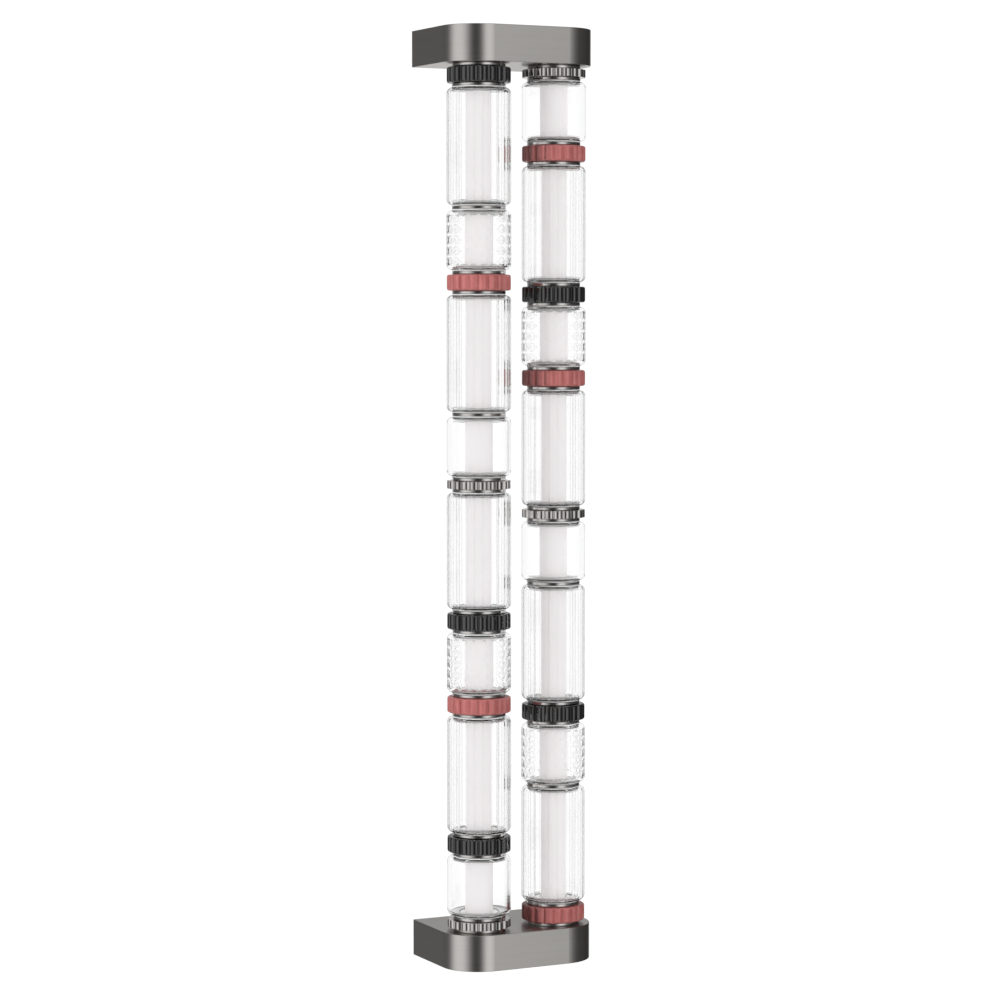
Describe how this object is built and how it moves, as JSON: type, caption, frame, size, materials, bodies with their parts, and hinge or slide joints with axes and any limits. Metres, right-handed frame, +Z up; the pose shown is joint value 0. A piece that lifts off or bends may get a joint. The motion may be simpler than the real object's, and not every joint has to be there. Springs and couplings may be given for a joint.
{
  "type": "wall lamp",
  "caption": "Tall wall lamp: two columns of clear, fluted and dimpled glass sleeves with scalloped grip rings round opal light tubes, held between two brushed metal housings.",
  "frame": {"origin": "middle of the four wall screws, on the wall plane, halfway up the lamp", "axes": "+Z up, +X to the right seen from the front, the front faces -Y and the wall is at y = 0"},
  "size_m": [0.15, 0.103, 0.8766],
  "materials": {
    "brushed_nickel": "horizontally brushed gunmetal nickel",
    "polished_steel": "polished",
    "black_resin": "satin",
    "rose_resin": "satin",
    "clear_glass": "clear",
    "fluted_glass": "clear, pressed flutes",
    "dimpled_glass": "clear, pressed dimples",
    "opal_acrylic": "opal satin",
    "clear_silicone": "translucent",
    "light_core": "mill finish extrusion",
    "light_strips": "white board with yellow chips",
    "zinc_steel": "bright zinc plate",
    "zinc_sheet": "zinc plated sheet",
    "blackened_steel": "black oxide",
    "driver_case": "fine textured",
    "terminal_nylon": "natural nylon",
    "black_rubber": "matt",
    "brass": "plain"
  },
  "bodies": {
    "wall_plates": {"top_wall_plate": "zinc_sheet", "bottom_wall_plate": "zinc_sheet", "cable_bush": "black_rubber", "earth_screw": "brass"},
    "lamp": {"clear_glass_left_1": "clear_glass", "fluted_glass_left_1": "fluted_glass", "dimpled_glass_left_1": "dimpled_glass", "fluted_glass_left_2": "fluted_glass", "clear_glass_left_2": "clear_glass", "fluted_glass_left_3": "fluted_glass", "dimpled_glass_left_2": "dimpled_glass", "fluted_glass_left_4": "fluted_glass", "fluted_glass_right_1": "fluted_glass", "dimpled_glass_right_1": "dimpled_glass", "fluted_glass_right_2": "fluted_glass", "clear_glass_right_1": "clear_glass", "fluted_glass_right_3": "fluted_glass", "dimpled_glass_right_2": "dimpled_glass", "fluted_glass_right_4": "fluted_glass", "clear_glass_right_2": "clear_glass", "ring_spools_left": "polished_steel", "spool_caps_left": "polished_steel", "glass_gaskets_left": "clear_silicone", "diffuser_tube_left": "opal_acrylic", "light_core_left": "light_core", "light_strips_left": "light_strips", "tie_rod_left": "zinc_steel", "ring_spools_right": "polished_steel", "spool_caps_right": "polished_steel", "glass_gaskets_right": "clear_silicone", "diffuser_tube_right": "opal_acrylic", "light_core_right": "light_core", "light_strips_right": "light_strips", "tie_rod_right": "zinc_steel", "plain_collars": "polished_steel", "tube_end_caps": "zinc_steel", "rod_washers": "zinc_steel", "rod_nuts": "zinc_steel", "top_housing": "brushed_nickel", "bottom_housing": "brushed_nickel", "set_screws": "blackened_steel", "led_driver": "driver_case", "driver_screws": "zinc_steel", "terminal_block": "terminal_nylon"},
    "steel_ring_left_1": {"steel_ring_left_1": "polished_steel"},
    "black_ring_left_1": {"black_ring_left_1": "black_resin"},
    "rose_ring_left_1": {"rose_ring_left_1": "rose_resin"},
    "black_ring_left_2": {"black_ring_left_2": "black_resin"},
    "steel_ring_left_2": {"steel_ring_left_2": "polished_steel"},
    "rose_ring_left_2": {"rose_ring_left_2": "rose_resin"},
    "black_ring_left_3": {"black_ring_left_3": "black_resin"},
    "rose_ring_right_1": {"rose_ring_right_1": "rose_resin"},
    "black_ring_right_1": {"black_ring_right_1": "black_resin"},
    "steel_ring_right_1": {"steel_ring_right_1": "polished_steel"},
    "rose_ring_right_2": {"rose_ring_right_2": "rose_resin"},
    "black_ring_right_2": {"black_ring_right_2": "black_resin"},
    "rose_ring_right_3": {"rose_ring_right_3": "rose_resin"},
    "steel_ring_right_2": {"steel_ring_right_2": "polished_steel"}
  },
  "joints": [
    {"name": "lamp_off_wall_plates", "type": "slide", "parent": "wall_plates", "child": "lamp", "axis": [0, -1, 0], "range_m": [0, 0.025]},
    {"name": "steel_ring_left_1_turn", "type": "hinge", "parent": "lamp", "child": "steel_ring_left_1", "pos_m": [-0.039, -0.07, 0], "axis": [0, 0, 1], "continuous": true},
    {"name": "black_ring_left_1_turn", "type": "hinge", "parent": "lamp", "child": "black_ring_left_1", "pos_m": [-0.039, -0.07, 0], "axis": [0, 0, 1], "continuous": true},
    {"name": "rose_ring_left_1_turn", "type": "hinge", "parent": "lamp", "child": "rose_ring_left_1", "pos_m": [-0.039, -0.07, 0], "axis": [0, 0, 1], "continuous": true},
    {"name": "black_ring_left_2_turn", "type": "hinge", "parent": "lamp", "child": "black_ring_left_2", "pos_m": [-0.039, -0.07, 0], "axis": [0, 0, 1], "continuous": true},
    {"name": "steel_ring_left_2_turn", "type": "hinge", "parent": "lamp", "child": "steel_ring_left_2", "pos_m": [-0.039, -0.07, 0], "axis": [0, 0, 1], "continuous": true},
    {"name": "rose_ring_left_2_turn", "type": "hinge", "parent": "lamp", "child": "rose_ring_left_2", "pos_m": [-0.039, -0.07, 0], "axis": [0, 0, 1], "continuous": true},
    {"name": "black_ring_left_3_turn", "type": "hinge", "parent": "lamp", "child": "black_ring_left_3", "pos_m": [-0.039, -0.07, 0], "axis": [0, 0, 1], "continuous": true},
    {"name": "rose_ring_right_1_turn", "type": "hinge", "parent": "lamp", "child": "rose_ring_right_1", "pos_m": [0.039, -0.07, 0], "axis": [0, 0, 1], "continuous": true},
    {"name": "black_ring_right_1_turn", "type": "hinge", "parent": "lamp", "child": "black_ring_right_1", "pos_m": [0.039, -0.07, 0], "axis": [0, 0, 1], "continuous": true},
    {"name": "steel_ring_right_1_turn", "type": "hinge", "parent": "lamp", "child": "steel_ring_right_1", "pos_m": [0.039, -0.07, 0], "axis": [0, 0, 1], "continuous": true},
    {"name": "rose_ring_right_2_turn", "type": "hinge", "parent": "lamp", "child": "rose_ring_right_2", "pos_m": [0.039, -0.07, 0], "axis": [0, 0, 1], "continuous": true},
    {"name": "black_ring_right_2_turn", "type": "hinge", "parent": "lamp", "child": "black_ring_right_2", "pos_m": [0.039, -0.07, 0], "axis": [0, 0, 1], "continuous": true},
    {"name": "rose_ring_right_3_turn", "type": "hinge", "parent": "lamp", "child": "rose_ring_right_3", "pos_m": [0.039, -0.07, 0], "axis": [0, 0, 1], "continuous": true},
    {"name": "steel_ring_right_2_turn", "type": "hinge", "parent": "lamp", "child": "steel_ring_right_2", "pos_m": [0.039, -0.07, 0], "axis": [0, 0, 1], "continuous": true}
  ]
}
